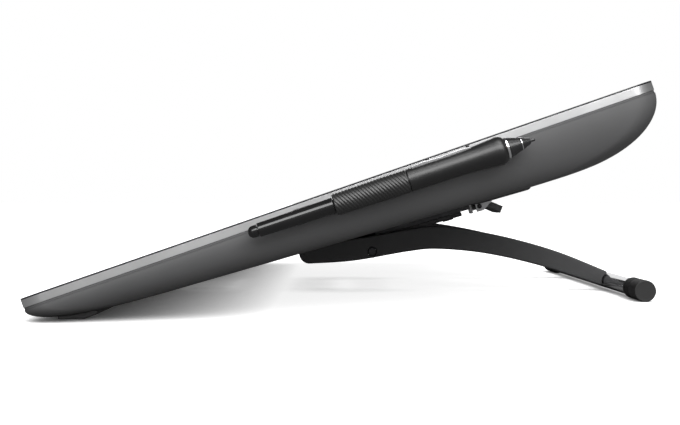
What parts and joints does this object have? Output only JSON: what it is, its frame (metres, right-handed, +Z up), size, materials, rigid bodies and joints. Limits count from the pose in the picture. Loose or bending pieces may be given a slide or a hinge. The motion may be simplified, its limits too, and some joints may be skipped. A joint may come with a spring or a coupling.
{
  "type": "pen drawing tablet",
  "caption": "Large screen tablet for drawing with a pen, leaning on its lower edge and a folding two-arm stand with a foot bar, its pen lying along the side.",
  "frame": {"origin": "centre of the footprint, on the surface the tablet stands on", "axes": "+X to the user's right, +Y away from the user, +Z up"},
  "size_m": [0.5602, 0.3796, 0.1313],
  "materials": {
    "cover_plastic": "fine textured matte",
    "black_plastic": "satin",
    "bezel_paint": "satin silver-grey",
    "frame_plastic": "matte grey",
    "screen_glass": "etched",
    "bright_steel": "bare",
    "dark_steel": "blackened",
    "arm_paint": "matte powder coat",
    "chrome": "polished",
    "rubber": "matte",
    "circuit_board": "solder mask",
    "diffuser": "matte white",
    "copper": "lacquered winding",
    "screen_panel": "dark panel"
  },
  "bodies": {
    "display": {"cover_glass": "screen_glass", "front_bezel": "bezel_paint", "mid_frame": "frame_plastic", "lcd_panel": "screen_panel", "backlight_unit": "diffuser", "sensor_board": "circuit_board", "shield_plate": "bright_steel", "main_board": "circuit_board", "power_board": "circuit_board", "port_board": "circuit_board", "button_board": "circuit_board", "video_socket": "bright_steel", "link_socket": "bright_steel", "power_inlet": "black_plastic", "rear_cover": "cover_plastic", "cover_screw_1": "dark_steel", "cover_screw_2": "dark_steel", "cover_screw_3": "dark_steel", "cover_screw_4": "dark_steel", "lower_foot_left": "rubber", "lower_foot_right": "rubber", "stand_mount_plate": "dark_steel", "plate_cover": "arm_paint", "plate_screw_1": "dark_steel", "plate_screw_2": "dark_steel", "plate_screw_3": "dark_steel", "plate_screw_4": "dark_steel", "pivot_bush_left": "black_plastic", "pivot_bush_right": "black_plastic", "lever_bracket": "bright_steel", "lever_pin": "dark_steel", "pen_cradle": "black_plastic"},
    "stand": {"arm_right": "arm_paint", "arm_left": "arm_paint", "pivot_shaft": "bright_steel", "ratchet_hub": "bright_steel", "torsion_spring_right": "dark_steel", "torsion_spring_left": "dark_steel", "cross_tie": "arm_paint", "arm_screw_right": "dark_steel", "arm_screw_left": "dark_steel", "foot_bar": "chrome", "foot_cap_left": "rubber", "foot_cap_right": "rubber"},
    "lever": {"release_lever": "black_plastic"},
    "rod": {"release_rod": "bright_steel"},
    "power_button": {"power_button": "black_plastic"},
    "menu_key_1": {"menu_key_1": "black_plastic"},
    "menu_key_2": {"menu_key_2": "black_plastic"},
    "menu_key_3": {"menu_key_3": "black_plastic"},
    "pen": {"pen_barrel": "black_plastic", "pen_grip": "rubber", "pen_tail": "black_plastic", "pen_ring": "chrome", "pen_cone": "black_plastic", "pen_coil": "copper", "pen_board": "circuit_board"},
    "pen_nib": {"pen_nib": "black_plastic"},
    "pen_eraser": {"pen_eraser": "rubber"},
    "pen_switch": {"pen_side_switch": "black_plastic"}
  },
  "joints": [
    {"name": "stand_fold", "type": "hinge", "parent": "display", "child": "stand", "pos_m": [-0.00805, -0.0383, 0.0274], "axis": [-1, 0, 0], "range_deg": [-7, 70]},
    {"name": "lever_squeeze", "type": "hinge", "parent": "display", "child": "lever", "pos_m": [-0.00805, 0.09208, 0.06184], "axis": [1, 0, 0], "range_deg": [0, 16], "stiffness_Nm_per_rad": 0.3},
    {"name": "rod_pull", "type": "slide", "parent": "display", "child": "rod", "axis": [0, 0.9609, 0.277], "range_m": [0, 0.0011]},
    {"name": "pen_lift", "type": "slide", "parent": "display", "child": "pen", "axis": [1, 0, 0], "range_m": [0, 0.04]},
    {"name": "nib_press", "type": "slide", "parent": "pen", "child": "pen_nib", "axis": [0, -0.95, -0.3123], "range_m": [0, 0.001], "stiffness_N_per_m": 200},
    {"name": "eraser_press", "type": "slide", "parent": "pen", "child": "pen_eraser", "axis": [0, 0.95, 0.3123], "range_m": [0, 0.0004], "stiffness_N_per_m": 300},
    {"name": "switch_rock", "type": "hinge", "parent": "pen", "child": "pen_switch", "pos_m": [0.27255, 0.0369, 0.08766], "axis": [1, 0, 0], "range_deg": [-1, 1], "stiffness_Nm_per_rad": 0.02},
    {"name": "power_press", "type": "slide", "parent": "display", "child": "power_button", "axis": [0, -0.9449, -0.3272], "range_m": [0, 0.0008], "stiffness_N_per_m": 400},
    {"name": "menu_press_1", "type": "slide", "parent": "display", "child": "menu_key_1", "axis": [0, -0.9449, -0.3272], "range_m": [0, 0.0008], "stiffness_N_per_m": 400},
    {"name": "menu_press_2", "type": "slide", "parent": "display", "child": "menu_key_2", "axis": [0, -0.9449, -0.3272], "range_m": [0, 0.0008], "stiffness_N_per_m": 400},
    {"name": "menu_press_3", "type": "slide", "parent": "display", "child": "menu_key_3", "axis": [0, -0.9449, -0.3272], "range_m": [0, 0.0008], "stiffness_N_per_m": 400}
  ],
  "couplings": [
    {"joint": "lever_squeeze", "follows": "rod_pull", "rad_per_m": 250}
  ]
}
